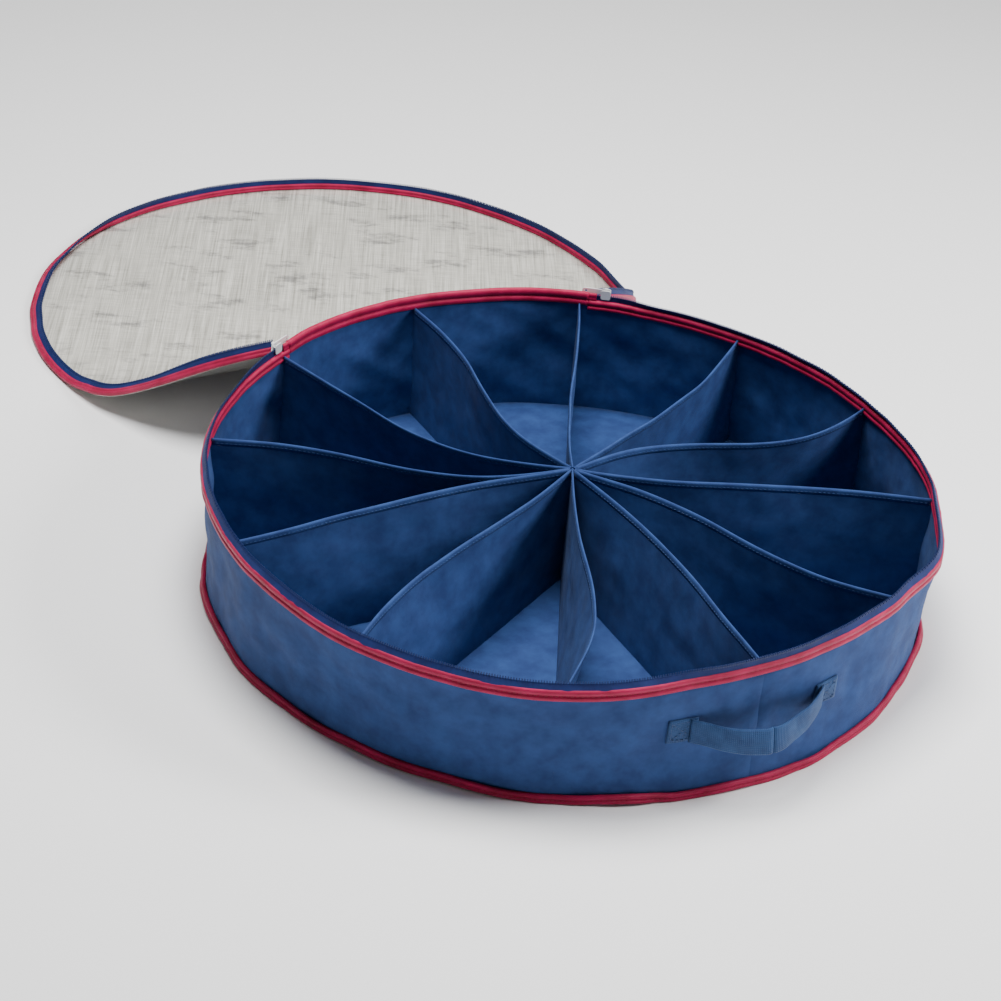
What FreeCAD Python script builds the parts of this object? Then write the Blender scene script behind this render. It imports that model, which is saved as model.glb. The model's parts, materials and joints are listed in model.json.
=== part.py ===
import FreeCAD, Part
import math
import os

from FreeCAD import Vector

# Round soft shoe bag with pockets arranged like slices, a see-through lid that folds
# back on a sewn seam, a two-slider zip, and a webbing handle on the front.
# Millimetres and degrees.  The origin is the centre of the base's underside, +Z is up,
# the handle is at -Y and the lid's seam is at +Y.  The lid is written out lying open.

# ---- bag body ----
bag_radius = 400.0            # outer face of the side wall
wall_height = 150.0
wall_fabric = 2.0
base_fabric = 2.0
pocket_count = 12
divider_fabric = 1.6
divider_drop = 2.0            # divider's top edge below the wall's top edge
core_radius = 5.0             # stitched column where the dividers meet

# ---- bindings ----
binding_width = 5.0           # radial thickness of a folded binding round an edge
rim_skirt = 9.0               # binding's outer leg down the wall
rim_cap = 3.0                 # binding above the wall's top edge
base_binding_proud = 4.0
base_binding_height = 10.0
base_binding_lift = 0.5       # keeps the binding off the floor
hinge_binding_height = 13.0
lid_binding_height = 9.0

# ---- zip ----
tape_fabric = 1.0
tape_height = 9.0             # visible tape with its row of teeth, on the bag and on the lid
teeth_height = 2.3
teeth_width = 2.6
teeth_gap = 1.2               # between the two rows of teeth when the lid is shut
end_tab_length = 10.0
end_tab_width = 4.0
end_tab_height = 11.0
end_tab_gap = 0.5             # lid's row of teeth to the bag's end tabs

# ---- lid and its seam ----
lid_sheet = 0.8
seam_half_angle = 30.0        # the sewn seam covers this much of the rim each way
seam_turn = -1.5              # the seam is sewn a little off the bag's centre line
fold_inset = 42.0             # straight line that the lid folds on, from the seam's middle
open_lid_drop = 8.0           # open lid's outer face under the rim at that line
bend_distance = 258.0         # from that line to where the open lid meets the floor
bend_gap_sheet = 0.5          # each side of the bend, in the sheet
bend_gap_edge = 8.0           # each side of the bend, in the upright edge pieces
notch_clearance = 6.0         # open lid to the rim binding's outer face
floor_clearance = 0.4         # open lid's flat half above the floor
fold_strip_height = 3.0
fold_strip_inset = 3.0        # degrees short of each end of the seam
fold_strip_width = 4.5

# ---- zip sliders and pulls ----
slider_length = 12.0
slider_height = 12.0
slider_plate = 1.2
slider_web = 0.6
slider_web_length = 4.0
slider_park = 21.0            # along the rim from the seam's end to the parked slider
slider_side_gap = 0.9         # plate to teeth
slider_round = 2.5
lug_height = 1.0
lug_length = 4.0
lug_inset = 1.0               # from the slider's top and bottom edges
pin_radius = 0.7
pin_fit = 0.08                # radial clearance of the pull's eye on the pin
moving_gap = 0.3              # between pieces that move past each other
knuckle_wall = 0.82
pull_length = 30.0
pull_thickness = 1.5
pull_hole_radius = 1.6
pull_hole_inset = 5.0
pull_clearance = 5.0          # open lid's edge to the end of a swinging pull

# ---- handle ----
webbing_width = 28.0
webbing_thickness = 2.5
handle_height = 88.0          # middle of the webbing above the floor
handle_half_span = 101.0      # along the wall from the centre to a sewn end's outer edge
sewn_length = 31.0
handle_bow = 30.0             # strap's outer face from the wall at its middle
strap_wall_gap = 1.0

# ---- worked-out levels ----
rim_top = wall_height + rim_cap
bag_teeth_top = rim_top + tape_height
lid_teeth_bottom = bag_teeth_top + teeth_gap
lid_tape_top = lid_teeth_bottom + tape_height
lid_top = lid_tape_top + lid_binding_height
slider_middle = bag_teeth_top + teeth_gap / 2
slider_bottom = slider_middle - slider_height / 2
fold_distance = bag_radius - fold_inset
open_lid_height = rim_top - open_lid_drop

# ---- worked-out directions ----
seam_middle = 90.0 + seam_turn
seam_left = seam_middle + seam_half_angle
seam_right = seam_middle - seam_half_angle


def arc_angle(length, radius=bag_radius):
    """Angle in degrees that a length along the rim covers."""
    return math.degrees(length / radius)


def around_axis(radius, azimuth, z=0.0):
    a = math.radians(azimuth)
    return Vector(radius * math.cos(a), radius * math.sin(a), z)


def turned(shape, azimuth):
    """The shape turned about the bag's axis."""
    shape.rotate(Vector(0, 0, 0), Vector(0, 0, 1), azimuth)
    return shape


def ring(inner, outer, bottom, top, start=0.0, end=360.0):
    """A ring, or an arc of one from azimuth start to azimuth end."""
    height = top - bottom
    base = Vector(0, 0, bottom)
    up = Vector(0, 0, 1)
    solid = Part.makeCylinder(outer, height, base, up, end - start)
    solid = solid.cut(Part.makeCylinder(inner, height, base, up, 360))
    return turned(solid, start)


def box(x0, x1, y0, y1, z0, z1):
    return Part.makeBox(x1 - x0, y1 - y0, z1 - z0, Vector(x0, y0, z0))


# ---- bag body ----
def base_panel():
    return Part.makeCylinder(bag_radius - wall_fabric, base_fabric)


def wall_panel(start, end):
    return ring(bag_radius - wall_fabric, bag_radius, 0.0, wall_height, start, end)


def base_binding():
    top = base_binding_lift + base_binding_height
    return ring(bag_radius, bag_radius + base_binding_proud, base_binding_lift, top)


def rim_binding():
    """Folded binding over the wall's top edge, everywhere but along the lid's seam."""
    ends = seam_left, seam_right + 360
    skirt = ring(bag_radius, bag_radius + binding_width / 2,
                 wall_height - rim_skirt, wall_height, *ends)
    cap = ring(bag_radius - binding_width / 2, bag_radius + binding_width / 2,
               wall_height, rim_top, *ends)
    return skirt.fuse(cap).removeSplitter()


def hinge_binding():
    """Binding over the seam that joins the lid to the wall."""
    return ring(bag_radius - binding_width / 2, bag_radius + binding_width / 2,
                wall_height, wall_height + hinge_binding_height, seam_right, seam_left)


def lid_hinge_fold():
    """The strip of sheet that bends between the seam and the stiffer lid."""
    inner = bag_radius + binding_width / 2
    return ring(inner, inner + fold_strip_width,
                wall_height, wall_height + fold_strip_height,
                seam_right + fold_strip_inset, seam_left - fold_strip_inset)


def centre_seam():
    height = wall_height - divider_drop - base_fabric
    return Part.makeCylinder(core_radius, height, Vector(0, 0, base_fabric))


def divider(number):
    """One upright fabric wall from the centre column to the side wall."""
    azimuth = 90.0 - 360.0 / pocket_count * number
    half = divider_fabric / 2
    sheet = box(0, bag_radius, -half, half, base_fabric, wall_height - divider_drop)
    room = ring(core_radius, bag_radius - wall_fabric, base_fabric, wall_height)
    return turned(sheet.common(room), azimuth)


# ---- zip rows ----
def zip_row(width, bottom, top, gap=0.0):
    """Tape or teeth along the rim, from one end tab round the front to the other."""
    start = arc_angle(end_tab_length + gap)
    return ring(bag_radius - width / 2, bag_radius + width / 2, bottom, top,
                seam_left + start, seam_right + 360 - start)


def zip_tape_bag():
    return zip_row(tape_fabric, rim_top, bag_teeth_top - teeth_height)


def zip_teeth_bag():
    return zip_row(teeth_width, bag_teeth_top - teeth_height, bag_teeth_top)


def zip_end_tab(start, end):
    return ring(bag_radius - end_tab_width / 2, bag_radius + end_tab_width / 2,
                rim_top, rim_top + end_tab_height, start, end)


# ---- lid: one flexible sheet made as two stiff halves, built shut and then laid open ----
def fold_height():
    return (lid_top + open_lid_height) / 2


def lid_slope():
    """How steeply the half next to the bag slopes down when the other half is on the floor."""
    below_axis = lid_top - lid_sheet / 2 - fold_height()
    drop = fold_height() - floor_clearance - lid_sheet / 2
    span = math.hypot(below_axis, bend_distance)
    return math.degrees(math.asin(drop / span) - math.atan2(below_axis, bend_distance))


def across_fold(point):
    """The point mirrored over the straight line that the shut lid folds on."""
    outward = around_axis(1.0, seam_middle)
    return point + outward * 2 * (fold_distance - point.dot(outward))


def column(radius, point):
    """An upright cylinder that reaches well past the whole bag."""
    point = Vector(point.x, point.y, -wall_height)
    return Part.makeCylinder(radius, 4 * wall_height, point)


def slab(start, end):
    """Everything between two distances from the fold line, over the shut bag."""
    wide = 4 * bag_radius
    solid = box(-wide, wide, fold_distance - end, fold_distance - start,
                -wall_height, 3 * wall_height)
    return turned(solid, seam_turn)


def rim_notch():
    """Room for the rim in the sloping half: an arc that clears it at the middle and ends."""
    slope = math.radians(lid_slope())
    below_axis = lid_top - lid_sheet / 2 - fold_height()
    clear_radius = bag_radius + binding_width / 2 + notch_clearance
    half_width = clear_radius * math.sin(math.radians(seam_half_angle))
    reach = []
    for outward in (clear_radius, clear_radius * math.cos(math.radians(seam_half_angle))):
        level = outward - fold_distance + below_axis * math.sin(slope)
        reach.append(level / math.cos(slope))
    depth = reach[0] - reach[1]
    radius = (half_width ** 2 + depth ** 2) / (2 * depth)
    return column(radius, around_axis(fold_distance - reach[0] + radius, seam_middle))


def near_half(shape, gap):
    """The shut lid's half next to the seam, cleared round the rim and laid open."""
    shape = shape.common(slab(0, bend_distance - gap)).cut(rim_notch())
    shape.rotate(around_axis(fold_distance, seam_middle, fold_height()),
                 around_axis(1.0, seam_turn), -180.0 - lid_slope())
    return shape


def far_half(shape, gap):
    """The shut lid's other half, laid flat on the floor."""
    shape = shape.common(slab(bend_distance + gap, 4 * bag_radius))
    across = around_axis(1.0, seam_turn)
    bend = around_axis(fold_distance - bend_distance, seam_middle, lid_top - lid_sheet / 2)
    shape.rotate(bend, across, lid_slope())
    shape.rotate(around_axis(fold_distance, seam_middle, fold_height()),
                 across, -180.0 - lid_slope())
    return shape


def near_edge(shape):
    """An edge piece of the near half, kept out of the way of both pulls."""
    for side in (1, -1):
        pin = around_axis(pin_distance(), slider_azimuth(side))
        shape = shape.cut(column(pull_length + pull_clearance, across_fold(pin)))
    return near_half(shape, bend_gap_edge)


def lid_disc():
    return Part.makeCylinder(bag_radius - binding_width / 2, lid_sheet,
                             Vector(0, 0, lid_top - lid_sheet))


def lid_binding():
    return ring(bag_radius - binding_width / 2, bag_radius + binding_width / 2,
                lid_tape_top, lid_top)


def zip_tape_lid():
    return zip_row(tape_fabric, lid_teeth_bottom + teeth_height, lid_tape_top, end_tab_gap)


def zip_teeth_lid():
    return zip_row(teeth_width, lid_teeth_bottom, lid_teeth_bottom + teeth_height, end_tab_gap)


# ---- sliders and pulls, built at azimuth 0 and turned into place ----
def slider_azimuth(side):
    """Where a slider is parked: side 1 is the left one, -1 the right one."""
    return seam_middle + side * (seam_half_angle + arc_angle(slider_park))


def plate_outer_face():
    return bag_radius + teeth_width / 2 + slider_side_gap + slider_plate


def pin_distance():
    return plate_outer_face() + moving_gap + pin_radius + knuckle_wall


def slider(side):
    half_gap = teeth_width / 2 + slider_side_gap
    half_long = slider_length / 2
    top = slider_bottom + slider_height
    plates = []
    for x0 in (bag_radius - half_gap - slider_plate, bag_radius + half_gap):
        plate = box(x0, x0 + slider_plate, -half_long, half_long, slider_bottom, top)
        corners = [e for e in plate.Edges if abs(e.tangentAt(e.FirstParameter).x) > 0.9]
        plates.append(plate.makeFillet(slider_round, corners))
    web = box(bag_radius - half_gap, bag_radius + half_gap,
              -slider_web_length / 2, slider_web_length / 2,
              slider_middle - slider_web / 2, slider_middle + slider_web / 2)
    lug_end = pin_distance() + pin_radius + knuckle_wall
    lugs = []
    for z0 in (slider_bottom + lug_inset, top - lug_inset - lug_height):
        lug = box(plate_outer_face(), lug_end, -lug_length / 2, lug_length / 2,
                  z0, z0 + lug_height)
        lugs.append(lug)
    pin = Part.makeCylinder(pin_radius, slider_height - 2 * lug_inset,
                            Vector(pin_distance(), 0, slider_bottom + lug_inset))
    solid = plates[0].fuse([plates[1], web, pin] + lugs).removeSplitter()
    return turned(solid, slider_azimuth(side))


def pull(side):
    """Flat tab with an eye on the slider's pin, lying along the rim towards the seam."""
    bottom = slider_bottom + lug_inset + lug_height + moving_gap
    top = slider_bottom + slider_height - lug_inset - lug_height - moving_gap
    middle = (bottom + top) / 2
    height = top - bottom
    x0 = pin_distance() - pull_thickness / 2
    across = Vector(1, 0, 0)
    round_end = Vector(x0, height / 2 - pull_length, middle)
    tab = box(x0, x0 + pull_thickness, height / 2 - pull_length, 0, bottom, top)
    tab = tab.fuse(Part.makeCylinder(height / 2, pull_thickness, round_end, across))
    knuckle = Part.makeCylinder(pin_radius + knuckle_wall, height,
                                Vector(pin_distance(), 0, bottom))
    eye = Part.makeCylinder(pin_radius + pin_fit, height, Vector(pin_distance(), 0, bottom))
    hole = Part.makeCylinder(pull_hole_radius, pull_thickness,
                             Vector(x0, pull_hole_inset - pull_length, middle), across)
    solid = tab.fuse(knuckle).cut(eye).cut(hole).removeSplitter()
    if side < 0:
        solid = solid.mirror(Vector(0, 0, 0), Vector(0, 1, 0))
    return turned(solid, slider_azimuth(side))


# ---- handle ----
def handle_end(side):
    """Folded end of the webbing, sewn flat on the wall."""
    outer = side * arc_angle(handle_half_span)
    inner = side * arc_angle(handle_half_span - sewn_length)
    return ring(bag_radius, bag_radius + webbing_thickness,
                handle_height - webbing_width / 2, handle_height + webbing_width / 2,
                -90 + min(outer, inner), -90 + max(outer, inner))


def handle_strap():
    """Webbing between its sewn ends, bowed out from the wall."""
    end_angle = math.radians(arc_angle(handle_half_span - sewn_length))
    half_chord = bag_radius * math.sin(end_angle) - moving_gap
    end_y = -bag_radius * math.cos(end_angle) - strap_wall_gap - webbing_thickness
    rise = bag_radius + handle_bow + end_y
    radius = (half_chord ** 2 + rise ** 2) / (2 * rise)
    centre_y = -(bag_radius + handle_bow) + radius
    bottom = handle_height - webbing_width / 2
    centre = Vector(0, centre_y, bottom)
    loop = Part.makeCylinder(radius, webbing_width, centre)
    loop = loop.cut(Part.makeCylinder(radius - webbing_thickness, webbing_width, centre))
    front = box(-half_chord, half_chord, -2 * bag_radius, end_y + webbing_thickness,
                bottom, bottom + webbing_width)
    return loop.common(front)


os.makedirs("parts", exist_ok=True)

tab_angle = arc_angle(end_tab_length)
nodes = {
    "base_panel": base_panel(),
    "base_binding": base_binding(),
    "wall_panel_left": wall_panel(90, 270),
    "wall_panel_right": wall_panel(-90, 90),
    "rim_binding": rim_binding(),
    "hinge_binding": hinge_binding(),
    "lid_hinge_fold": lid_hinge_fold(),
    "centre_seam": centre_seam(),
    "zip_tape_bag": zip_tape_bag(),
    "zip_teeth_bag": zip_teeth_bag(),
    "zip_end_tab_left": zip_end_tab(seam_left, seam_left + tab_angle),
    "zip_end_tab_right": zip_end_tab(seam_right - tab_angle, seam_right),
    "lid_window_near": near_half(lid_disc(), bend_gap_sheet),
    "lid_window_far": far_half(lid_disc(), bend_gap_sheet),
    "zip_slider_left": slider(1),
    "zip_slider_right": slider(-1),
    "zip_pull_left": pull(1),
    "zip_pull_right": pull(-1),
    "handle_end_left": handle_end(-1),
    "handle_end_right": handle_end(1),
    "handle_strap": handle_strap(),
}
lid_edges = {
    "lid_binding": lid_binding(),
    "zip_tape_lid": zip_tape_lid(),
    "zip_teeth_lid": zip_teeth_lid(),
}
for name, edge in lid_edges.items():
    nodes[name + "_near"] = near_edge(edge)
    nodes[name + "_far"] = far_half(edge, bend_gap_edge)
for number in range(1, pocket_count + 1):
    nodes["divider_%02d" % number] = divider(number)

for name, shape in nodes.items():
    shape.exportStep("parts/%s.step" % name)
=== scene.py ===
import json
import math

import bpy
from mathutils import Matrix, Vector, noise

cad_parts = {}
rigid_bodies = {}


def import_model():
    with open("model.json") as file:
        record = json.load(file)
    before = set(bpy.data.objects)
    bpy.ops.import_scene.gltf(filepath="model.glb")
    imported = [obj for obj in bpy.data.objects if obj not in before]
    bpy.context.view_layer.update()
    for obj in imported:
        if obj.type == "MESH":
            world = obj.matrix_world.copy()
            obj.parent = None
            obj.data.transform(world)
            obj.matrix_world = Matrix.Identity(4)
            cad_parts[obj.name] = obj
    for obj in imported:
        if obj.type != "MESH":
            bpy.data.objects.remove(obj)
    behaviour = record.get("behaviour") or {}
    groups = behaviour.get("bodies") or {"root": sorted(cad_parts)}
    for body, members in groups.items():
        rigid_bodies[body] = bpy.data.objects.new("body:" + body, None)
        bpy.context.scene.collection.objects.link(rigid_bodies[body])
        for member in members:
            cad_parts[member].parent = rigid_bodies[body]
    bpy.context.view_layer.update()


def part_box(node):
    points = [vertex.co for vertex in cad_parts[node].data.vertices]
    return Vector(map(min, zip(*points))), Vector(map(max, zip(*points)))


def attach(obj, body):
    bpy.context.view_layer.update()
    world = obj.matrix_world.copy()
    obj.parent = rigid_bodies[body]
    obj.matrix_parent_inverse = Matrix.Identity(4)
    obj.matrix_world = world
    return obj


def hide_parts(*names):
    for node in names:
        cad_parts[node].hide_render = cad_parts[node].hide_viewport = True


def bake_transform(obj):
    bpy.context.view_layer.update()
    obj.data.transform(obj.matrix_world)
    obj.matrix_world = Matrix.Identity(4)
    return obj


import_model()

MM = 0.001

# ---- places read from the frame ----
wall_low, wall_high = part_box("wall_panel_left")
RADIUS = -wall_low.x
WALL_TOP = wall_high.z
RIM_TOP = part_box("rim_binding")[1].z
TAPE_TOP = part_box("zip_tape_bag")[1].z

# ---- cloth sizes ----
WALL_SEAMS = (90, 270)
SEAM_CREASE = 1.3
WALL_FABRIC = 2.0 * MM
DIVIDER_FABRIC = 1.6 * MM
CORE_RADIUS = 5.0 * MM
BASE_FABRIC = 2.0 * MM
POCKETS = 12
DIVIDER_TOP = WALL_TOP - 2.0 * MM
HEM_DEPTH = 8.0 * MM
TAPE_FABRIC = 1.0 * MM
TAPE_TUCK = 1.5 * MM
TOOTH_PITCH = 2.6 * MM
TOOTH_LENGTH = 1.5 * MM
TOOTH_WIDTH = 2.6 * MM
TOOTH_STAGGER = 0.25
STITCH_LENGTH = 3.2 * MM
STITCH_GAP = 1.9 * MM
STITCH_THICK = 0.7 * MM

# ---- folded tapes in millimetres: width and stitch groove, then where each one ends ----
RIM_TAPE_WIDTH, RIM_TAPE_GROOVE = 6.8, 1.5
RIM_TAPE_LOW, RIM_TAPE_HIGH, RIM_STITCH_OUT, RIM_STITCH_LEVEL = -9.5, 3.2, 2.0, -3.7
HINGE_TAPE_WIDTH, HINGE_TAPE_GROOVE, HINGE_TAPE_EXTRA = 6.4, 1.3, 4.0
BASE_TAPE_WIDTH, BASE_TAPE_GROOVE, BASE_TAPE_SHORT, BASE_TAPE_TURN = 5.0, 1.0, 1.4, 4.0
LID_TAPE_WIDTH, LID_TAPE_GROOVE = 5.4, 0.6
END_TAB_WIDTH, END_TAB_HEIGHT, END_TAB_GROOVE = 4.0, 9.5, 0.3

# ---- the lid, shut, as the frame's own hinge has it ----
SEAM_MIDDLE = 88.5
SEAM_HALF = 30.0
SEAM_LEFT = SEAM_MIDDLE + SEAM_HALF
SEAM_RIGHT = SEAM_MIDDLE - SEAM_HALF
END_TAB = math.degrees(10.0 * MM / RADIUS)
LID_ZIP_INSET = END_TAB * 1.1
FOLD_DISTANCE = RADIUS - 42.0 * MM
BEND_DISTANCE = 258.0 * MM
LID_SHEET = 0.8 * MM
LID_BINDING = 9.0 * MM
LID_TAPE = 6.7 * MM
LID_TEETH = 2.3 * MM
SHEET_ABOVE_AXIS = 17.7 * MM
SLOPE = math.radians(34.948)
FLAT_SHEET_Z = 0.8 * MM
BEND_HALF = 70.0 * MM
LID_SLUMP = 11.0 * MM
NOTCH_RADIUS = 346.0 * MM
NOTCH_DEPTH = 74.0 * MM
OUTWARD = Vector((math.cos(math.radians(SEAM_MIDDLE)), math.sin(math.radians(SEAM_MIDDLE)), 0))
ACROSS = Vector((OUTWARD.y, -OUTWARD.x, 0))
BEND_OUTWARD = (FOLD_DISTANCE + BEND_DISTANCE * math.cos(SLOPE)
                - SHEET_ABOVE_AXIS * math.sin(SLOPE))
LID_TOP = 181.2 * MM
SHEET_MIDDLE = LID_TOP - LID_SHEET / 2

# ---- how the cloth hangs: (azimuth in degrees, millimetres or degrees) round the rim ----
RIM_BULGE = [(0, -6), (28, -7), (55.5, 0), (74, 5), (104, 5), (121.5, 0), (140, 3), (165, 6),
             (188, 9), (208, 15), (226, 18), (244, 15), (261, 2), (270, 0), (290, -2),
             (300, 2), (313, 14), (330, 2)]
RIM_SAG = [(0, 0), (55.5, 0), (121.5, 0), (180, -2), (232, -6), (262, 0), (312, -2), (335, 1)]
TAPE_LEAN = [(0, 34), (45, 26), (54, 0), (58, 0), (119, 0), (124, 0), (136, 28), (200, 38),
             (250, 34), (264, 0), (276, 0), (292, 30), (325, 36)]
# Each divider's bow and sway sideways and the droop of its top edge, in millimetres.
DIVIDERS = {
    1: (4, 3, 5), 2: (-12, 3, 7), 3: (-6, 22, 6), 4: (13, -7, 9), 5: (7, 13, 8), 6: (20, 3, 7),
    7: (25, -9, 8), 8: (-20, 6, 9), 9: (-22, -3, 8), 10: (14, 16, 6), 11: (36, 9, 8),
    12: (7, 13, 6),
}
LID_LEAN = [(0, 4), (51, 0), (60, 0), (117, 0), (126, 0), (148, 44), (164, 56), (220, 54),
            (246, 14), (263, 0), (277, 0), (315, -3)]
LID_REACH = [(0, 0), (121.5, 0), (158, -7), (188, 0), (225, 5), (262, 0), (312, 3), (335, 0)]
SLIDER_PLACES = (55.5, 121.5, 267.0, 273.0)
HANDLE_BOW = 30.0 * MM
HANDLE_SAG = 11.0 * MM
HANDLE_SEWN = 9.0 * MM
PATCH_THICK = 2.6 * MM
STRAP_THICK = 2.3 * MM

# ---- the weave on the lid runs at an angle to the seam: cosine and sine of it ----
WEAVE_COSINE, WEAVE_SINE = 0.917, 0.399

# ---- stage ----
FLOOR_SIZE, FLOOR_ALBEDO, WORLD_STRENGTH = 40, 0.93, 0.14
# Each light's place, the point that it faces, its side and its power.
KEY_LIGHT = ((2.1, -1.2, 1.9), (0, 0.0, 0.1), 1.0, 100)
TOP_LIGHT = ((-0.1, 0.3, 2.4), (0, 0.1, 0.1), 1.2, 112)
CAMERA_AZIMUTH, CAMERA_ELEVATION, CAMERA_ROLL = -29.96, 31.85, 4.9
CAMERA_PLACE = (-1.2576, -2.0290, 1.5807)
CAMERA_LENS, CAMERA_SENSOR = 90.6, 36


# ---- small helpers ----
def eased(points, azimuth):
    """A value eased between given (azimuth, value) pairs that go once round the bag."""
    azimuth = (azimuth - points[0][0]) % 360 + points[0][0]
    closed = points + [(points[0][0] + 360, points[0][1])]
    for (a0, v0), (a1, v1) in zip(closed, closed[1:]):
        if azimuth <= a1:
            t = (azimuth - a0) / (a1 - a0)
            return v0 + (v1 - v0) * t * t * (3 - 2 * t)
    return points[0][1]


def ripple(x, y, z=0.0):
    """Smooth noise between about -1 and 1 that is the same on every run."""
    return noise.noise(Vector((x, y, z)))


def polar(radius, azimuth, z):
    a = math.radians(azimuth)
    return Vector((radius * math.cos(a), radius * math.sin(a), z))


def steps(start, end, count):
    return [start + (end - start) * i / count for i in range(count + 1)]


def turn_from(place, azimuth):
    """Degrees from a place round the bag to an azimuth, between -180 and 180."""
    return (azimuth - place + 180) % 360 - 180


def finish_mesh(name, points, faces, uvs, paint, smooth=True):
    mesh = bpy.data.meshes.new(name)
    mesh.from_pydata([tuple(p) for p in points], [], faces)
    mesh.materials.append(paint)
    if uvs:
        layer = mesh.uv_layers.new(name="UVMap")
        for loop in mesh.loops:
            layer.data[loop.index].uv = uvs[loop.vertex_index]
    for face in mesh.polygons:
        face.use_smooth = smooth
    mesh.validate()
    piece = bpy.data.objects.new(name, mesh)
    bpy.context.scene.collection.objects.link(piece)
    return piece


def loft(name, rows, paint, loop_rows=False, loop_points=True, uvs=None, sharp=None):
    """A skin over rows of points. Open rows of closed outlines get end caps."""
    count = len(rows[0])
    points = [p for row in rows for p in row]
    if uvs is None:
        uvs = []
        along = 0.0
        for i, row in enumerate(rows):
            if i:
                along += (row[0] - rows[i - 1][0]).length
            across = 0.0
            for j, p in enumerate(row):
                if j:
                    across += (p - row[j - 1]).length
                uvs.append((along, across))
    faces = []
    for i in range(len(rows) if loop_rows else len(rows) - 1):
        a, b = i * count, (i + 1) % len(rows) * count
        for j in range(count if loop_points else count - 1):
            k = (j + 1) % count
            faces.append((a + j, b + j, b + k, a + k))
    if loop_points and not loop_rows:
        faces.append(tuple(range(count)))
        faces.append(tuple(reversed(range(len(points) - count, len(points)))))
    piece = finish_mesh(name, points, faces, uvs, paint)
    if sharp:
        piece.data.set_sharp_from_angle(angle=math.radians(sharp))
    return piece


def add_block(points, faces, centre, along, side, up, size):
    """A block with a slightly drawn-in top, put at the end of two growing lists."""
    first = len(points)
    for u in (-1, 1):
        draw_in = 1.0 if u < 0 else 0.72
        for a, s in ((-1, -1), (1, -1), (1, 1), (-1, 1)):
            points.append(centre + along * (a * size[0] / 2 * draw_in)
                          + side * (s * size[1] / 2 * draw_in) + up * (u * size[2] / 2))
    for quad in ((3, 2, 1, 0), (4, 5, 6, 7), (0, 1, 5, 4), (1, 2, 6, 5), (2, 3, 7, 6),
                 (3, 0, 4, 7)):
        faces.append(tuple(first + k for k in quad))


def blocks(name, places, size, paint):
    """Many small equal blocks in one mesh. Each place is (centre, along, up)."""
    points, faces = [], []
    for centre, along, up in places:
        along = along.normalized()
        side = up.cross(along).normalized()
        add_block(points, faces, centre, along, side, side.cross(along) * -1, size)
    return finish_mesh(name, points, faces, None, paint, smooth=False)


def dashes(path):
    """Stitch places along a path of (point, outward normal) pairs."""
    pitch = STITCH_LENGTH + STITCH_GAP
    places = []
    left = pitch / 2
    for (p, n), (q, m) in zip(path, path[1:]):
        length = (q - p).length
        while left <= length:
            t = left / length
            places.append((p.lerp(q, t), q - p, n.lerp(m, t).normalized()))
            left += pitch
        left -= length
    return places


def stitches(name, paths, paint, body):
    places = [place for path in paths for place in dashes(path)]
    piece = blocks(name, places, (STITCH_LENGTH, STITCH_THICK, STITCH_THICK), paint)
    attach(piece, body)


# ---- materials ----
def shader(name):
    paint = bpy.data.materials.new(name)
    paint.use_nodes = True
    nodes = paint.node_tree.nodes
    return paint, nodes, paint.node_tree.links, nodes["Principled BSDF"]


def metre_coordinates(nodes, links, scale):
    """Texture coordinates in metres along the cloth, scaled."""
    uv = nodes.new("ShaderNodeUVMap")
    mapping = nodes.new("ShaderNodeMapping")
    mapping.inputs["Scale"].default_value = scale
    links.new(uv.outputs["UV"], mapping.inputs["Vector"])
    return mapping.outputs["Vector"]


def speckle(nodes, links, coordinates, scale, detail=3.0, roughness=0.6):
    texture = nodes.new("ShaderNodeTexNoise")
    texture.inputs["Scale"].default_value = scale
    texture.inputs["Detail"].default_value = detail
    texture.inputs["Roughness"].default_value = roughness
    if coordinates is not None:
        links.new(coordinates, texture.inputs["Vector"])
    return texture.outputs["Fac"]


def two_tone(nodes, links, factor, dark, light, low=0.35, high=0.65):
    ramp = nodes.new("ShaderNodeValToRGB")
    ramp.color_ramp.elements[0].position = low
    ramp.color_ramp.elements[1].position = high
    ramp.color_ramp.elements[0].color = (*dark, 1)
    ramp.color_ramp.elements[1].color = (*light, 1)
    links.new(factor, ramp.inputs["Fac"])
    return ramp.outputs["Color"]


def threads(nodes, links, coordinates, count, direction):
    """Rows of threads: a sine wave along one axis of the metre coordinates."""
    wave = nodes.new("ShaderNodeTexWave")
    wave.bands_direction = direction
    wave.inputs["Scale"].default_value = count
    wave.inputs["Distortion"].default_value = 0.6
    wave.inputs["Detail"].default_value = 1.0
    links.new(coordinates, wave.inputs["Vector"])
    return wave.outputs["Fac"]


def add_up(nodes, links, first, second, share=0.5):
    mix = nodes.new("ShaderNodeMix")
    mix.inputs["Factor"].default_value = share
    links.new(first, mix.inputs["A"])
    links.new(second, mix.inputs["B"])
    return mix.outputs["Result"]


def bump(nodes, links, height, bsdf, distance, strength=1.0):
    node = nodes.new("ShaderNodeBump")
    node.inputs["Strength"].default_value = strength
    node.inputs["Distance"].default_value = distance
    links.new(height, node.inputs["Height"])
    if bsdf.inputs["Normal"].links:
        links.new(bsdf.inputs["Normal"].links[0].from_socket, node.inputs["Normal"])
    links.new(node.outputs["Normal"], bsdf.inputs["Normal"])


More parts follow.
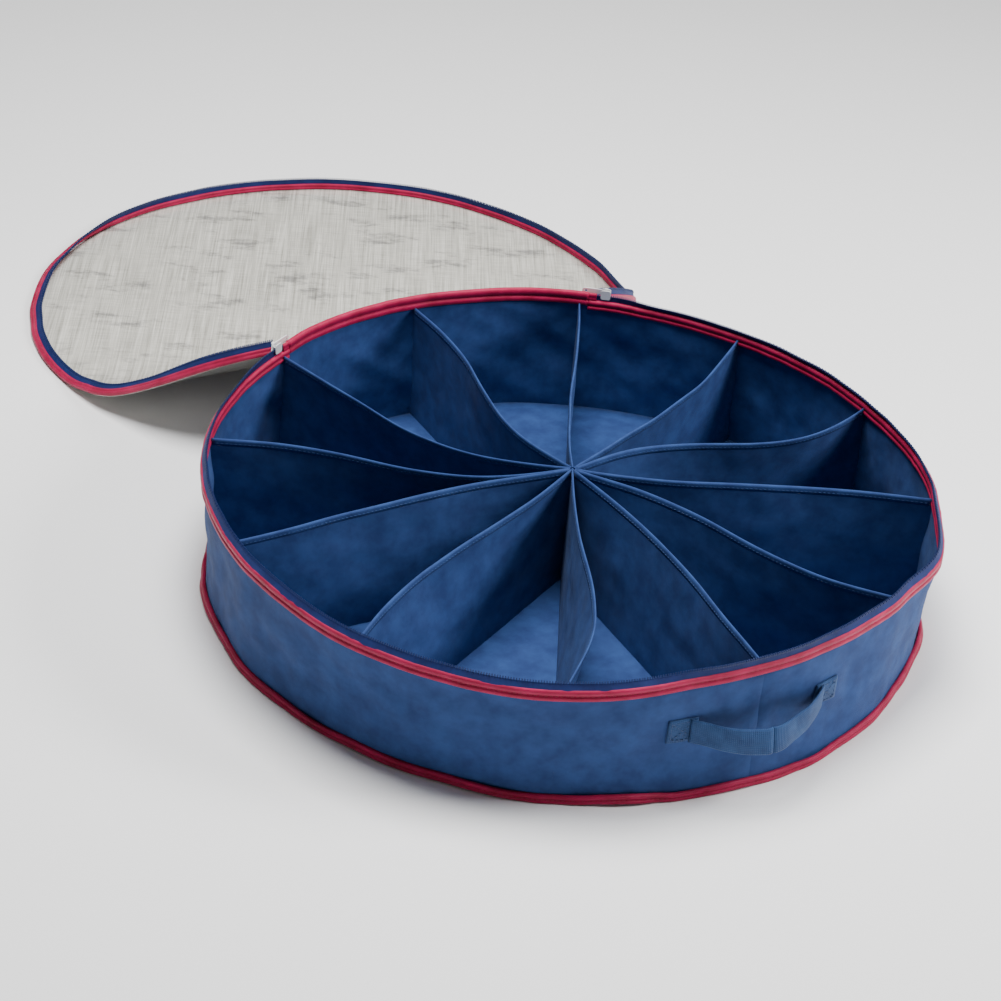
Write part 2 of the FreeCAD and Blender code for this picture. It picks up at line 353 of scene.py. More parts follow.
def woven(name, dark, light, thread_count=160.0, depth=0.25 * MM, rough=0.75,
          sheen=0.25, sheen_tint=(0.5, 0.62, 0.8), crease=0.0):
    """Woven cloth: mottled colour, crossing threads and soft creases."""
    paint, nodes, links, bsdf = shader(name)
    metres = metre_coordinates(nodes, links, (1, 1, 1))
    mottle = speckle(nodes, links, metres, 38.0)
    links.new(two_tone(nodes, links, mottle, dark, light), bsdf.inputs["Base Color"])
    bsdf.inputs["Roughness"].default_value = rough
    bsdf.inputs["Sheen Weight"].default_value = sheen
    bsdf.inputs["Sheen Roughness"].default_value = 0.45
    bsdf.inputs["Sheen Tint"].default_value = (*sheen_tint, 1)
    bsdf.inputs["Specular IOR Level"].default_value = 0.25
    weave = add_up(nodes, links, threads(nodes, links, metres, thread_count, "X"),
                   threads(nodes, links, metres, thread_count, "Y"))
    bump(nodes, links, weave, bsdf, depth)
    if crease:
        rumple = speckle(nodes, links, metres, 11.0, detail=2.0, roughness=0.45)
        bump(nodes, links, rumple, bsdf, crease)
    return paint


def vinyl():
    """Clear vinyl over a pale, slubby woven ground, crumpled from being rolled up, with painted
    shade in the crumple hollows.
    """
    paint, nodes, links, bsdf = shader("window_vinyl")
    fine = speckle(nodes, links, metre_coordinates(nodes, links, (1.0, 0.01, 1)), 700.0)
    slub = speckle(nodes, links, metre_coordinates(nodes, links, (1.0, 0.025, 1)), 260.0)
    cross = speckle(nodes, links, metre_coordinates(nodes, links, (0.04, 1.0, 1)), 620.0)
    ground = add_up(nodes, links, add_up(nodes, links, fine, slub), cross, 0.25)
    cloth = two_tone(nodes, links, ground, (0.33, 0.32, 0.28), (0.74, 0.72, 0.655), 0.38, 0.62)
    crumple_scale = metre_coordinates(nodes, links, (0.7, 1.6, 1))
    crumple = speckle(nodes, links, crumple_scale, 13.0, detail=6.0, roughness=0.7)
    # Painted shade: the crumple noise, which is also the bump height below, darkens the colour to
    # about half in its low hollows.
    shade = two_tone(nodes, links, crumple, (0.52, 0.52, 0.54), (1.0, 1.0, 1.0), 0.36, 0.46)
    tint = nodes.new("ShaderNodeMix")
    tint.data_type = "RGBA"
    tint.blend_type = "MULTIPLY"
    tint.inputs[0].default_value = 1.0
    links.new(cloth, tint.inputs[6])
    links.new(shade, tint.inputs[7])
    links.new(tint.outputs[2], bsdf.inputs["Base Color"])
    bsdf.inputs["Roughness"].default_value = 0.16
    bsdf.inputs["Coat Weight"].default_value = 0.5
    bsdf.inputs["Coat Roughness"].default_value = 0.06
    bsdf.inputs["IOR"].default_value = 1.5
    bsdf.inputs["Alpha"].default_value = 0.93
    bump(nodes, links, crumple, bsdf, 3.0 * MM, 0.45)
    return paint


def metal():
    paint, nodes, links, bsdf = shader("zip_metal_white")
    scratch = speckle(nodes, links, None, 900.0)
    links.new(two_tone(nodes, links, scratch, (0.82, 0.82, 0.83), (0.93, 0.93, 0.93)),
              bsdf.inputs["Base Color"])
    bsdf.inputs["Metallic"].default_value = 0.25
    bsdf.inputs["Roughness"].default_value = 0.28
    bump(nodes, links, scratch, bsdf, 0.03 * MM)
    return paint


def nylon(name, dark, light):
    paint, nodes, links, bsdf = shader(name)
    grain = speckle(nodes, links, None, 700.0)
    links.new(two_tone(nodes, links, grain, dark, light), bsdf.inputs["Base Color"])
    bsdf.inputs["Roughness"].default_value = 0.42
    bump(nodes, links, grain, bsdf, 0.05 * MM)
    return paint


NAVY = woven("navy_cloth", (0.014, 0.039, 0.145), (0.023, 0.064, 0.208), 320.0, 0.16 * MM,
             sheen=0.05, crease=8.0 * MM)
NAVY_TAPE = woven("navy_tape", (0.004, 0.012, 0.085), (0.008, 0.022, 0.125), 300.0, 0.2 * MM, 0.6,
                  0.05)
WEBBING = woven("navy_webbing", (0.01, 0.036, 0.12), (0.021, 0.068, 0.19), 150.0, 0.4 * MM, 0.65,
                0.12)
CRIMSON = woven("crimson_tape", (0.3, 0.002, 0.038), (0.43, 0.005, 0.068), 260.0, 0.25 * MM,
                0.45, 0.08, (1.0, 0.45, 0.6))
CRIMSON_THREAD = nylon("crimson_thread", (0.27, 0.005, 0.03), (0.36, 0.01, 0.05))
NAVY_THREAD = nylon("navy_thread", (0.012, 0.035, 0.12), (0.03, 0.075, 0.2))
TEETH = nylon("teeth_nylon", (0.006, 0.014, 0.075), (0.014, 0.03, 0.12))
VINYL = vinyl()
METAL = metal()


# ---- the bag's wall and base ----
def calm(azimuth):
    """0 where a slider rests or stops, so the zip runs true there, and 1 elsewhere."""
    share = 1.0
    for place in SLIDER_PLACES:
        gap = turn_from(place, azimuth)
        share *= 1 - math.exp(-(gap / 6.0) ** 4)
    return share


def round_ripple(azimuth, waves, layer):
    """Smooth noise round the bag that meets itself."""
    a = math.radians(azimuth)
    return ripple(math.cos(a) * waves, math.sin(a) * waves, layer)


def rim_radius(azimuth):
    """Outer face of the wall at its top edge."""
    wave = 2.6 * round_ripple(azimuth, 3.6, 11.0) + 1.0 * round_ripple(azimuth, 9.0, 12.0)
    return RADIUS + (eased(RIM_BULGE, azimuth) + wave * calm(azimuth)) * MM


def rim_level(azimuth):
    """How far the rim lies above or below its level place."""
    wave = 1.6 * round_ripple(azimuth, 4.0, 13.0) - 0.6
    return (eased(RIM_SAG, azimuth) + wave * calm(azimuth)) * MM


def wall_radius(azimuth, z):
    """Outer face of the cloth wall, with its soft folds."""
    share = min(max(z / WALL_TOP, 0.0), 1.0)
    free = math.sin(math.pi * share) ** 0.8
    a = math.radians(azimuth)
    x, y = math.cos(a) * 3.0, math.sin(a) * 3.0
    lean = 5.0 * share
    folds = 6.0 * ripple(x * 1.3, y * 1.3, share * 1.6) + 2.8 * ripple(x * 3 + lean, y * 3, 7.0)
    folds += 1.3 * ripple(x * 7, y * 7 + lean, share * 3.0 + 3.0)
    foot = 4.5 * round_ripple(azimuth, 2.6, 21.0) + 2.0 * round_ripple(azimuth, 6.0, 22.0)
    for seam in WALL_SEAMS:
        folds -= SEAM_CREASE * math.exp(-(turn_from(seam, azimuth) / 0.3) ** 2)
    radius = RADIUS + foot * (1 - share) ** 1.5 * MM
    return radius + (rim_radius(azimuth) - RADIUS) * share ** 1.4 + folds * free * MM


def rim_middle(azimuth):
    """Radius of the middle of the wall's cloth at its top edge."""
    return wall_radius(azimuth, WALL_TOP) - WALL_FABRIC / 2


def wall_panel(side, start, end):
    rows = []
    for azimuth in steps(start, end, 220):
        outer = []
        inner = []
        for share in steps(0.0, 1.0, 20):
            z = share * (WALL_TOP + rim_level(azimuth))
            radius = wall_radius(azimuth, share * WALL_TOP)
            outer.append(polar(radius, azimuth, z))
            inner.append(polar(radius - WALL_FABRIC, azimuth, z))
        rows.append(outer + inner[::-1])
    piece = loft("wall_cloth_" + side, rows, NAVY, sharp=50)
    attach(piece, "bag")
    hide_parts("wall_panel_" + side)


def base_panel():
    """Two layers: a level underside and a floor that the dividers pull into low waves."""
    rings, turns = 26, 240
    rows = []
    for k in range(turns):
        azimuth = 360.0 * k / turns
        top = []
        under = []
        for i in range(rings + 1):
            share = (i + 0.15) / (rings + 0.15)
            p = polar((wall_radius(azimuth, 0.0) - WALL_FABRIC) * share, azimuth, 0.0)
            wave = 1.3 + 1.3 * ripple(p.x * 16, p.y * 16, 1.0) + 0.6 * ripple(p.x * 45, p.y * 45)
            edge = min(1.0, (1 - share) * 12)
            top.append(Vector((p.x, p.y, BASE_FABRIC + max(0.0, wave) * edge * MM)))
            under.append(p)
        rows.append(under[::-1] + top)
    uvs = [(p.x, p.y) for row in rows for p in row]
    piece = loft("cloth_base", rows, NAVY, loop_rows=True, uvs=uvs)
    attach(piece, "bag")
    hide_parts("base_panel")


def follow_ring(name, azimuths, outline, paint, closed=False):
    """A binding swept round the bag. The outline gives (outward, up) places in metres."""
    rows = [[polar(r, a, z) for r, z in outline(a)] for a in azimuths]
    return loft(name, rows, paint, loop_rows=closed)


def rounded_tape(width, bottom, top, groove):
    """Outline of a folded tape in millimetres, with a pressed-in stitch line on both faces."""
    half = width / 2
    middle = bottom + (top - bottom) * 0.46
    outer = [(half * 0.7, bottom), (half, bottom + 1.0), (half, middle - 1.5),
             (half - groove, middle - 0.5), (half - groove, middle + 0.5), (half, middle + 1.5),
             (half * 0.95, top - 1.3), (half * 0.45, top)]
    return outer + [(-r, z) for r, z in outer[::-1]]


def binding_offset(azimuth):
    """How far a hand-fed tape strays sideways, in millimetres."""
    return 0.5 * ripple(azimuth * 0.21, 2.0) + 0.35 * ripple(azimuth * 0.8, 5.0)


def rim_binding():
    shape = rounded_tape(RIM_TAPE_WIDTH, RIM_TAPE_LOW, RIM_TAPE_HIGH, RIM_TAPE_GROOVE)

    def outline(azimuth):
        radius = rim_middle(azimuth)
        level = WALL_TOP + rim_level(azimuth)
        sway = binding_offset(azimuth)
        return [(radius + (r + sway) * MM, level + (z + 0.4 * sway) * MM) for r, z in shape]

    piece = follow_ring("rim_tape", steps(SEAM_LEFT, SEAM_RIGHT + 360, 560), outline, CRIMSON)
    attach(piece, "bag")
    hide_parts("rim_binding")
    paths = []
    for side in (1, -1):
        path = []
        for azimuth in steps(SEAM_LEFT, SEAM_RIGHT + 360, 560):
            sway = binding_offset(azimuth)
            radius = rim_middle(azimuth) + (side * RIM_STITCH_OUT + sway) * MM
            level = WALL_TOP + rim_level(azimuth) + (RIM_STITCH_LEVEL + 0.4 * sway) * MM
            path.append((polar(radius, azimuth, level), polar(side, azimuth, 0)))
        paths.append(path)
    stitches("rim_stitches", paths, CRIMSON_THREAD, "bag")


def hinge_binding():
    low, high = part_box("hinge_binding")
    bottom = (low.z - WALL_TOP) / MM - HINGE_TAPE_EXTRA
    top = (high.z - WALL_TOP) / MM
    shape = rounded_tape(HINGE_TAPE_WIDTH, bottom, top, HINGE_TAPE_GROOVE)

    def outline(azimuth):
        radius = rim_middle(azimuth)
        sway = binding_offset(azimuth)
        return [(radius + (r + sway) * MM, WALL_TOP + z * MM) for r, z in shape]

    piece = follow_ring("hinge_tape", steps(SEAM_RIGHT, SEAM_LEFT, 120), outline, CRIMSON)
    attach(piece, "bag")
    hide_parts("hinge_binding")


def base_binding():
    """The tape round the foot of the wall, which tips and lifts a little as it goes."""
    low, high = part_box("base_binding")
    height = (high.z - low.z) / MM - BASE_TAPE_SHORT
    shape = rounded_tape(BASE_TAPE_WIDTH, 0.0, height, BASE_TAPE_GROOVE)

    def outline(azimuth):
        wave = round_ripple(azimuth, 7.0, 4.0)
        out = wall_radius(azimuth, 0.0) + (2.6 + 3.0 * abs(wave)) * MM
        up = low.z + max(0.0, 1.0 + 4.0 * round_ripple(azimuth, 4.6, 9.0)) * MM
        tip = 0.22 + 0.25 * wave
        return [(out + r * MM - (z - BASE_TAPE_TURN) * tip * MM, up + z * MM) for r, z in shape]

    piece = follow_ring("base_tape", steps(0, 360, 480)[:-1], outline, CRIMSON, closed=True)
    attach(piece, "bag")
    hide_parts("base_binding")
    path = []
    for azimuth in steps(0, 360, 480):
        radius, z = outline(azimuth)[3]
        path.append((polar(radius + 0.1 * MM, azimuth, z), polar(1, azimuth, 0)))
    stitches("base_stitches", [path], CRIMSON_THREAD, "bag")


# ---- dividers ----
def divider_azimuth(number):
    return 90.0 - 360.0 / POCKETS * number


def divider_side(number, share, rise):
    """Sideways place of a divider's cloth in metres, from its flat plane."""
    bow, sway, _ = DIVIDERS[number]
    free = rise ** 1.25
    side = bow * math.sin(math.pi * share) + sway * math.sin(2 * math.pi * share)
    side += 2.2 * ripple(share * 5, rise * 2, number * 3.1) * math.sin(math.pi * share) ** 0.5
    crease = 1.6 * ripple(share * 3 + rise * 5, rise * 3 - share * 6, number * 7.7)
    return (side * free + crease * math.sin(math.pi * share) * math.sin(math.pi * rise)) * MM


def divider_point(number, share, rise, side=0.0, above=0.0):
    """A point on a divider: share of the way out, rise from base to top edge."""
    droop = DIVIDERS[number][2]
    azimuth = divider_azimuth(number)
    edge = DIVIDER_TOP - droop * math.sin(math.pi * share) ** 0.8 * MM
    edge += rim_level(azimuth) * share
    z = BASE_FABRIC + (edge - BASE_FABRIC) * rise + above
    outer = wall_radius(azimuth, z) - WALL_FABRIC
    inner = CORE_RADIUS * 0.6
    along = inner + (outer - inner) * share
    a = math.radians(azimuth)
    out = Vector((math.cos(a), math.sin(a), 0))
    left = Vector((-math.sin(a), math.cos(a), 0))
    return out * along + left * (divider_side(number, share, rise) + side) + Vector((0, 0, z))


def divider(number):
    half = DIVIDER_FABRIC / 2
    rises = steps(0.0, 1.0, 18)
    rows = []
    for share in steps(0.0, 1.0, 64):
        right = [divider_point(number, share, rise, -half) for rise in rises]
        left = [divider_point(number, share, rise, half) for rise in rises]
        rows.append(right + left[::-1])
    piece = loft("divider_cloth_%02d" % number, rows, NAVY, sharp=50)
    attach(piece, "bag")
    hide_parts("divider_%02d" % number)


def divider_hem(number):
    """The folded top edge of a divider. Gives back the paths of its two rows of stitches."""
    deep = 1.0 - HEM_DEPTH / DIVIDER_TOP
    outline = [(-0.9, deep, 0.0), (-1.15, deep + 0.015, 0.0), (-1.15, 0.985, 0.0),
               (-0.8, 1.0, 0.4), (0.8, 1.0, 0.4), (1.15, 0.985, 0.0),
               (1.15, deep + 0.015, 0.0), (0.9, deep, 0.0)]
    rows = []
    for share in steps(0.004, 0.998, 64):
        rows.append([divider_point(number, share, rise, side * MM, above * MM)
                     for side, rise, above in outline])
    piece = loft("divider_hem_%02d" % number, rows, NAVY)
    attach(piece, "bag")
    azimuth = math.radians(divider_azimuth(number))
    left = Vector((-math.sin(azimuth), math.cos(azimuth), 0))
    return [[(divider_point(number, share, deep + 0.02, side * 1.2 * MM), left * side)
             for share in steps(0.03, 0.985, 64)] for side in (1, -1)]


def centre_seam():
    """The gathered column where all the dividers are sewn together."""
    low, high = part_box("centre_seam")
    rows = []
    for level in steps(0.0, 1.0, 24):
        pinch = 1.0 - 0.28 * math.exp(-((level - 0.93) / 0.05) ** 2)
        dome = math.sqrt(max(0.02, 1 - max(0.0, (level - 0.96) / 0.04) ** 2))
        row = []
        for k in range(96):
            turn = 360.0 * k / 96
            lobes = 1.0 + 0.2 * math.cos(math.radians(POCKETS * turn))
            radius = CORE_RADIUS * 0.95 * lobes * pinch * dome
            row.append(polar(radius, turn + 6 * level, low.z + (high.z - low.z) * level))
        rows.append(row)
    piece = loft("centre_gather", rows, NAVY)
    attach(piece, "bag")
    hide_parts("centre_seam")


# ---- zip on the bag ----
def tape_frame(azimuth):
    """Foot of the zip tape, its leaning direction and its side direction."""
    lean = math.radians(eased(TAPE_LEAN, azimuth) * (1 + 0.25 * ripple(azimuth * 0.12, 8.0)))
    foot = polar(wall_radius(azimuth, WALL_TOP), azimuth, RIM_TOP + rim_level(azimuth))
    out = polar(1.0, azimuth, 0.0)
    up = Vector((0, 0, 1))
    rise = up * math.cos(lean) - out * math.sin(lean)
    side = out * math.cos(lean) + up * math.sin(lean)
    return foot, rise, side


def zip_tape(name, start, end, node):
    height = TAPE_TOP - RIM_TOP
    rows = []
    for azimuth in steps(start, end, int((end - start) * 2)):
        foot, rise, side = tape_frame(azimuth)
        half = side * (TAPE_FABRIC / 2)
        foot = foot - rise * TAPE_TUCK
        tall = rise * (height + TAPE_TUCK)
        rows.append([foot + half, foot + tall * 0.5 + half, foot + tall + half,
                     foot + tall - half, foot + tall * 0.5 - half, foot - half])
    piece = loft(name, rows, NAVY_TAPE, sharp=50)
    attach(piece, "bag")
    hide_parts(node)


def zip_teeth():
    start, end = SEAM_LEFT + END_TAB, SEAM_RIGHT + 360 - END_TAB
    count = int(math.radians(end - start) * RADIUS / TOOTH_PITCH)
    height = TAPE_TOP - RIM_TOP
    places = []
    for i, azimuth in enumerate(steps(start, end, count)):
        foot, rise, side = tape_frame(azimuth)
        shift = TOOTH_STAGGER * MM if i % 2 else -TOOTH_STAGGER * MM
        centre = foot + rise * (height + LID_TEETH / 2 - 0.1 * MM) + side * shift
        places.append((centre, rise.cross(side), rise))
    piece = blocks("zip_row_bag", places, (TOOTH_LENGTH, TOOTH_WIDTH, LID_TEETH), TEETH)
    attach(piece, "bag")
    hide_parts("zip_teeth_bag")


def end_tab(side):
    """A folded cloth tab over each end of the zip."""
    word = "left" if side > 0 else "right"
    start = SEAM_LEFT if side > 0 else SEAM_RIGHT - END_TAB
    shape = rounded_tape(END_TAB_WIDTH, 0.0, END_TAB_HEIGHT, END_TAB_GROOVE)
    rows = []
    for azimuth in steps(start, start + END_TAB, 10):
        foot = polar(rim_middle(azimuth), azimuth, RIM_TOP)
        out = polar(1.0, azimuth, 0.0)
        rows.append([foot + out * (r * MM) + Vector((0, 0, z * MM)) for r, z in shape])
    piece = loft("zip_tab_" + word, rows, CRIMSON)
    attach(piece, "bag")
    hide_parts("zip_end_tab_" + word)


# ---- lid: shaped shut, then laid open the way the frame's two lid bodies are ----
def opened(point):
    """Where a point of the shut lid lies when the lid is laid open on the floor.

    The sheet slopes down from the rim, eases round the bend and lies flat. Its left edge
    slumps a little on the slope."""
    lateral = point.dot(ACROSS)
    along = FOLD_DISTANCE - point.dot(OUTWARD) - BEND_DISTANCE
    down = Vector((math.cos(SLOPE), -math.sin(SLOPE)))
    flat = Vector((1.0, 0.0))
    t = (along / BEND_HALF + 1) / 2
    if t <= 0:
        ahead, place = down, down * along
    elif t >= 1:
        ahead, place = flat, flat * along
    else:
        ahead = (down * (1 - t) + flat * t).normalized()
        place = down * (-BEND_HALF * (1 - t) ** 2) + flat * (BEND_HALF * t ** 2)
    height = SHEET_MIDDLE - point.z
    out = BEND_OUTWARD + place.x - ahead.y * height
    share = min(max(along / BEND_DISTANCE + 1, 0.0), 1.0)
    aside = min(max((-lateral / RADIUS - 0.55) / 0.35, 0.0), 1.0)
    slump = LID_SLUMP * math.sin(math.pi * share) * aside * aside * (3 - 2 * aside)
    z = FLAT_SHEET_Z + place.y + ahead.x * height - slump
    return ACROSS * lateral + OUTWARD * out + Vector((0, 0, max(z, 0.4 * MM)))


def lid_moves(piece, *nodes):
    """Bakes the lid's one piece where it lies and hides the frame's near and far halves in its
    place.
    """
    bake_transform(piece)
    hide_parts(*[node + half for node in nodes for half in ("_near", "_far")])


def window_edge(turn):
    """Radius of the window's edge, turn degrees from the seam's middle."""
    edge = RADIUS - 2.5 * MM
    centre = FOLD_DISTANCE - NOTCH_DEPTH + NOTCH_RADIUS
    a = math.radians(turn)
    chord = NOTCH_RADIUS ** 2 - (centre * math.sin(a)) ** 2
    if chord > 0 and math.cos(a) > 0:
        edge = min(edge, centre * math.cos(a) - math.sqrt(chord))
    return edge


def crumple(x, y, edge_share):
    """Height of the slack vinyl above its frame, in metres."""
    along = 0.8 * x + 0.6 * y
    broad = 1.6 * (0.5 + ripple(x * 5.0, y * 5.0, 2.0))
    ridges = 1.0 - abs(ripple(along * 11.0, (y - x) * 4.5, 5.0)) * 4.0
    fine = 1.0 - abs(ripple(x * 17.0 + 3.0, y * 13.0, 9.0)) * 4.0
    free = min(1.0, (1.0 - edge_share) * 9.0)
    return (max(0.0, broad) + 0.9 * max(0.0, ridges) + 0.45 * max(0.0, fine)) * free * MM


def lid_window():
    """The lid's sheet: rings from its middle to its edge, with a shallow notch at the seam."""
    turns, rings = 300, 84
    rows = []
    uvs = []
    for k in range(turns):
        turn = 360.0 * k / turns
        edge = window_edge(turn_from(0, turn))
        sway = lid_sway(SEAM_MIDDLE + turn) * MM
        if edge < RADIUS - 3 * MM:
            sway = 0.0
        upper, lower = [], []
        places = []
        for i in range(rings + 1):
            share = (i + 0.05) / (rings + 0.05)
            p = polar(edge * share + sway * share ** 8, SEAM_MIDDLE + turn, SHEET_MIDDLE)
            rise = crumple(p.x, p.y, share)
            upper.append(opened(p - Vector((0, 0, rise + LID_SHEET / 2))))
            lower.append(opened(p - Vector((0, 0, rise - LID_SHEET / 2))))
            places.append((WEAVE_COSINE * p.x + WEAVE_SINE * p.y,
                           WEAVE_COSINE * p.y - WEAVE_SINE * p.x))
        rows.append(lower + upper[::-1])
        uvs += places + places[::-1]
    piece = loft("lid_vinyl", rows, VINYL, loop_rows=True, uvs=uvs)
    lid_moves(piece, "lid_window")


def lid_sway(azimuth):
    """How far the lid's soft edge strays from its circle, in millimetres."""
    sway = 2.2 * round_ripple(azimuth, 4.0, 17.0) + 1.0 * round_ripple(azimuth, 9.0, 18.0)
    return sway * calm(azimuth) + eased(LID_REACH, azimuth)


def lid_lean(azimuth):
    """How far the lid's standing edge flops inward, in radians."""
    flop = 7 * round_ripple(azimuth, 3.5, 6.0) * calm(azimuth)
    return math.radians(eased(LID_LEAN, azimuth) + flop)


def edge_point(azimuth, r, z):
    """A point of the lid's standing edge, which flops inward on the left side."""
    lean = lid_lean(azimuth)
    tall = LID_TOP / MM - z
    out = r * math.cos(lean) - tall * math.sin(lean)
    tall = max(tall * math.cos(lean) + (r + 2.5) * math.sin(lean), 0.0)
    out += lid_sway(azimuth)
    return opened(polar(RADIUS + out * MM, azimuth, LID_TOP - tall * MM))


def lid_band(name, start, end, shape, paint, node):
    """One of the strips that stand up round the open lid's edge."""
    rows = [[edge_point(azimuth, r, z) for r, z in shape] for azimuth in steps(start, end, 600)]
    piece = loft(name, rows, paint, sharp=60)
    lid_moves(piece, node)


def lid_edges():
    top = LID_TOP / MM
    binding_bottom = top - LID_BINDING / MM
    tape_bottom = binding_bottom - LID_TAPE / MM
    tape = [(0.5, binding_bottom + 1.5), (0.5, (binding_bottom + tape_bottom) / 2),
            (0.5, tape_bottom), (-0.5, tape_bottom),
            (-0.5, (binding_bottom + tape_bottom) / 2), (-0.5, binding_bottom + 1.5)]
    binding = rounded_tape(LID_TAPE_WIDTH, binding_bottom, top, LID_TAPE_GROOVE)
    lid_band("lid_tape_red", SEAM_LEFT, SEAM_RIGHT + 360, binding, CRIMSON, "lid_binding")
    start, end = SEAM_LEFT + LID_ZIP_INSET, SEAM_RIGHT + 360 - LID_ZIP_INSET
    lid_band("lid_tape_navy", start, end, tape, NAVY_TAPE, "zip_tape_lid")
    count = int(math.radians(end - start) * RADIUS / TOOTH_PITCH)
    places = []
    for i, azimuth in enumerate(steps(start, end, count)):
        middle = tape_bottom - LID_TEETH / MM / 2
        shift = TOOTH_STAGGER if i % 2 else -TOOTH_STAGGER
        spot = edge_point(azimuth, shift, middle)
        ahead = edge_point(azimuth + 0.1, shift, middle) - spot
        above = edge_point(azimuth, shift, middle - 1) - spot
        places.append((spot, ahead, above.normalized()))
    piece = blocks("zip_row_lid", places, (TOOTH_LENGTH, TOOTH_WIDTH, LID_TEETH), TEETH)
    lid_moves(piece, "zip_teeth_lid")


def hinge_band():
    """The loose strip of vinyl between the seam and the lid's edge: one row of cloth."""
    rows = []
    for azimuth in steps(SEAM_RIGHT + 0.4, SEAM_LEFT - 0.4, 96):
        radius = wall_radius(azimuth, WALL_TOP) + 1.9 * MM
        edge = polar(window_edge(azimuth - SEAM_MIDDLE), azimuth, SHEET_MIDDLE)
        rows.append([polar(radius, azimuth, WALL_TOP), opened(edge)])
    piece = loft("lid_hinge_strip", rows, VINYL, loop_points=False)
    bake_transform(piece)
    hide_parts("lid_hinge_fold")


# ---- handle ----
def patch_point(x, z, off):
    """A point off the front of the wall, at a sideways place and a height."""
    azimuth = -90.0 + math.degrees(math.asin(x / RADIUS))
    return polar(wall_radius(azimuth, z) + off, azimuth, z)


def handle_patch(word):
    """A sewn-down end of the webbing that follows the wall."""
    low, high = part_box("handle_end_" + word)
    thick = PATCH_THICK
    rows = []
    for x in steps(low.x, high.x, 12):
        rows.append([patch_point(x, z, off) for z, off in
                     [(low.z, 0.2 * MM), (low.z, thick - 0.7 * MM), (low.z + 1.2 * MM, thick),
                      ((low.z + high.z) / 2, thick + 0.4 * MM), (high.z - 1.2 * MM, thick),
                      (high.z, thick - 0.7 * MM), (high.z, 0.2 * MM)]])
    piece = loft("handle_patch_" + word, rows, WEBBING)
    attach(piece, "bag")
    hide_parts("handle_end_" + word)
    inset = 3.5 * MM
    corners = [(low.x + inset, low.z + inset), (high.x - inset, low.z + inset),
               (high.x - inset, high.z - inset), (low.x + inset, high.z - inset)]
    lines = [(0, 1), (1, 2), (2, 3), (3, 0), (0, 2), (1, 3)]
    paths = []
    for a, b in lines:
        (x0, z0), (x1, z1) = corners[a], corners[b]
        paths.append([(patch_point(x0 + (x1 - x0) * t, z0 + (z1 - z0) * t, thick + 0.5 * MM),
                       Vector((0, -1, 0))) for t in steps(0.0, 1.0, 8)])
    stitches("handle_stitches_" + word, paths, NAVY_THREAD, "bag")


def strap_point(share, width_share, off):
    """A point on the hanging webbing: share of the way from left to right."""
    left_low, left_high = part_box("handle_end_left")
    right_low, right_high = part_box("handle_end_right")
    start, end = left_high.x - HANDLE_SEWN, right_low.x + HANDLE_SEWN
    x = start + (end - start) * share
    lift = 1 - (2 * share - 1) ** 2
    azimuth = -90.0 + math.degrees(math.asin(x / RADIUS))
    middle = (left_low.z + left_high.z) / 2 - HANDLE_SAG * lift ** 1.3
    width = left_high.z - left_low.z
    tilt = 4.5 * MM * lift * (0.5 - width_share)
    roll = 0.8 * MM * math.sin(3 * math.pi * share)
    wall = -polar(wall_radius(azimuth, middle), azimuth, 0).y
    y = -(wall + 3.2 * MM + (HANDLE_BOW - 5 * MM) * lift + off + tilt + roll * (width_share - 0.5))
    return Vector((x, y, middle + (width_share - 0.5) * width))


def strap_half(name, start, end, nodes):
    """Half of the webbing. It goes over from the bag to the handle between two points."""
    rows = []
    thick = STRAP_THICK
    for share in steps(start, end, 44):
        rows.append([strap_point(share, w, off) for w, off in
                     [(0.0, 0.0), (0.0, thick * 0.7), (0.05, thick), (0.35, thick * 1.08),
                      (0.65, thick * 1.08), (0.95, thick), (1.0, thick * 0.7), (1.0, 0.0),
                      (0.65, -0.1 * MM), (0.35, -0.1 * MM)]])
    piece = loft(name, rows, WEBBING)
    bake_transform(piece)
    if nodes:
        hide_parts(*nodes)


def handle_strap():
    left = strap_point(0.0, 0.5, 0.0)
    right = strap_point(1.0, 0.5, 0.0)
    strap_half("handle_webbing_left", 0.0, 0.5, ["handle_strap"])
    strap_half("handle_webbing_right", 0.5, 1.0, [])


# ---- sliders and pulls stay as the frame has them ----
def dress_metal():
    for side in ("left", "right"):
        for part in ("zip_slider_", "zip_pull_"):
            node = bpy.data.objects[part + side]
            node.data.materials.clear()
            node.data.materials.append(METAL)
            bevel = node.modifiers.new("edge", "BEVEL")
            bevel.width = 0.18 * MM
            bevel.segments = 2
            bevel.limit_method = "ANGLE"


# ---- stage ----
def soft_box(name, place, target, size, power):
    light = bpy.data.lights.new(name, "AREA")
    light.shape = "RECTANGLE"
    light.size = light.size_y = size
    light.energy = power
    lamp = bpy.data.objects.new(name, light)
    lamp.location = place
    lamp.rotation_euler = (Vector(target) - Vector(place)).to_track_quat("-Z", "Y").to_euler()
    bpy.context.scene.collection.objects.link(lamp)


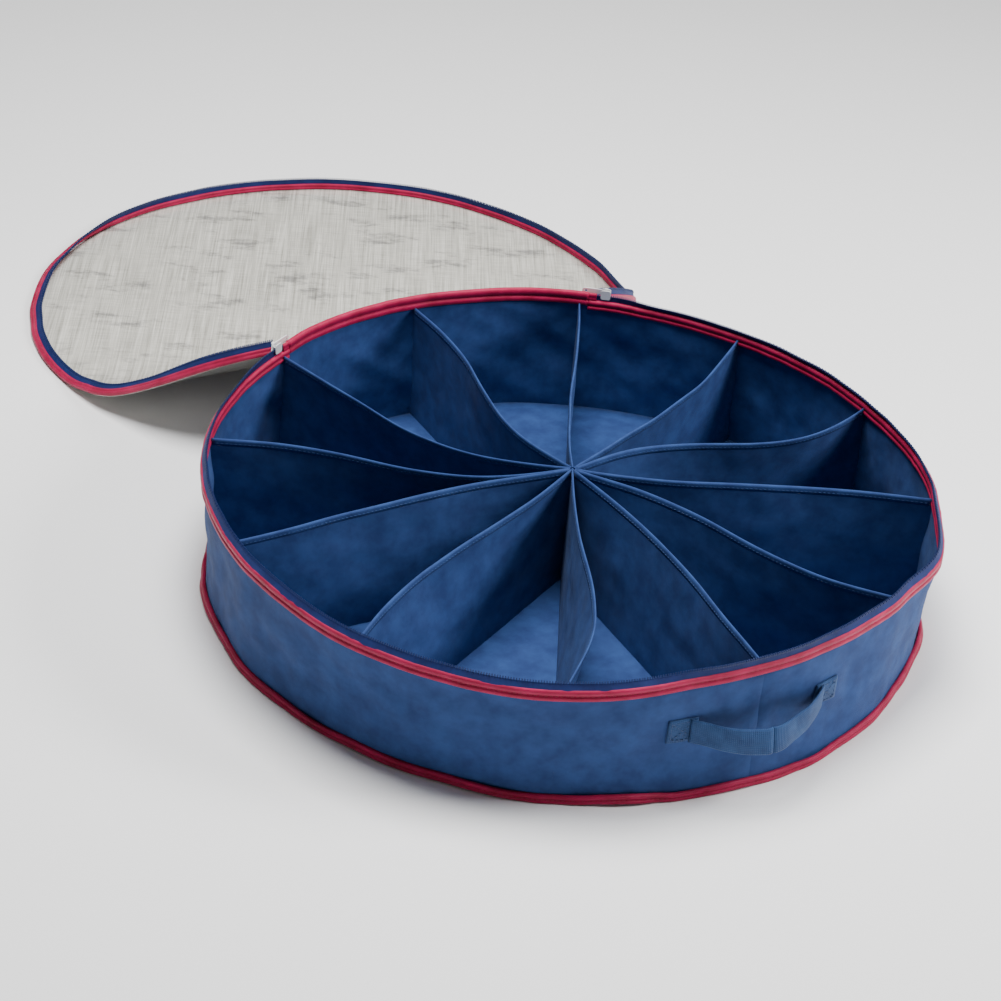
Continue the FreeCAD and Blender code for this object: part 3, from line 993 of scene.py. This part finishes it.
def stage():
    paint, nodes, links, bsdf = shader("studio_floor")
    bsdf.inputs["Base Color"].default_value = (FLOOR_ALBEDO, FLOOR_ALBEDO, FLOOR_ALBEDO, 1)
    bsdf.inputs["Roughness"].default_value = 0.9
    bpy.ops.mesh.primitive_plane_add(size=FLOOR_SIZE)
    floor = bpy.context.object
    floor.name = "studio_floor"
    floor.data.materials.append(paint)
    world = bpy.data.worlds.new("studio")
    bpy.context.scene.world = world
    world.use_nodes = True
    world.node_tree.nodes["Background"].inputs["Color"].default_value = (1, 1, 1, 1)
    world.node_tree.nodes["Background"].inputs["Strength"].default_value = WORLD_STRENGTH
    soft_box("key", *KEY_LIGHT)
    soft_box("top", *TOP_LIGHT)


def camera():
    azimuth, elevation, roll = (math.radians(angle) for angle in
                                (CAMERA_AZIMUTH, CAMERA_ELEVATION, CAMERA_ROLL))
    back = Vector((math.sin(azimuth) * math.cos(elevation),
                   -math.cos(azimuth) * math.cos(elevation), math.sin(elevation)))
    level = Vector((math.cos(azimuth), math.sin(azimuth), 0))
    upright = back.cross(level)
    right = level * math.cos(roll) + upright * math.sin(roll)
    up = upright * math.cos(roll) - level * math.sin(roll)
    data = bpy.data.cameras.new("photo_view")
    data.lens = CAMERA_LENS
    data.sensor_width = CAMERA_SENSOR
    data.sensor_fit = "HORIZONTAL"
    eye = bpy.data.objects.new("photo_view", data)
    turn = Matrix((right, up, back)).transposed().to_4x4()
    eye.matrix_world = Matrix.Translation(CAMERA_PLACE) @ turn
    bpy.context.scene.collection.objects.link(eye)
    bpy.context.scene.camera = eye


# ---- build ----
base_panel()
wall_panel("left", 90, 270)
wall_panel("right", -90, 90)
rim_binding()
hinge_binding()
base_binding()
centre_seam()
hem_paths = []
for pocket in range(1, POCKETS + 1):
    divider(pocket)
    hem_paths += divider_hem(pocket)
stitches("hem_stitches", hem_paths, NAVY_THREAD, "bag")
zip_tape("zip_band_bag", SEAM_LEFT + END_TAB, SEAM_RIGHT + 360 - END_TAB, "zip_tape_bag")
zip_teeth()
end_tab(1)
end_tab(-1)
lid_window()
lid_edges()
hinge_band()
handle_patch("left")
handle_patch("right")
handle_strap()
dress_metal()
stage()
camera()
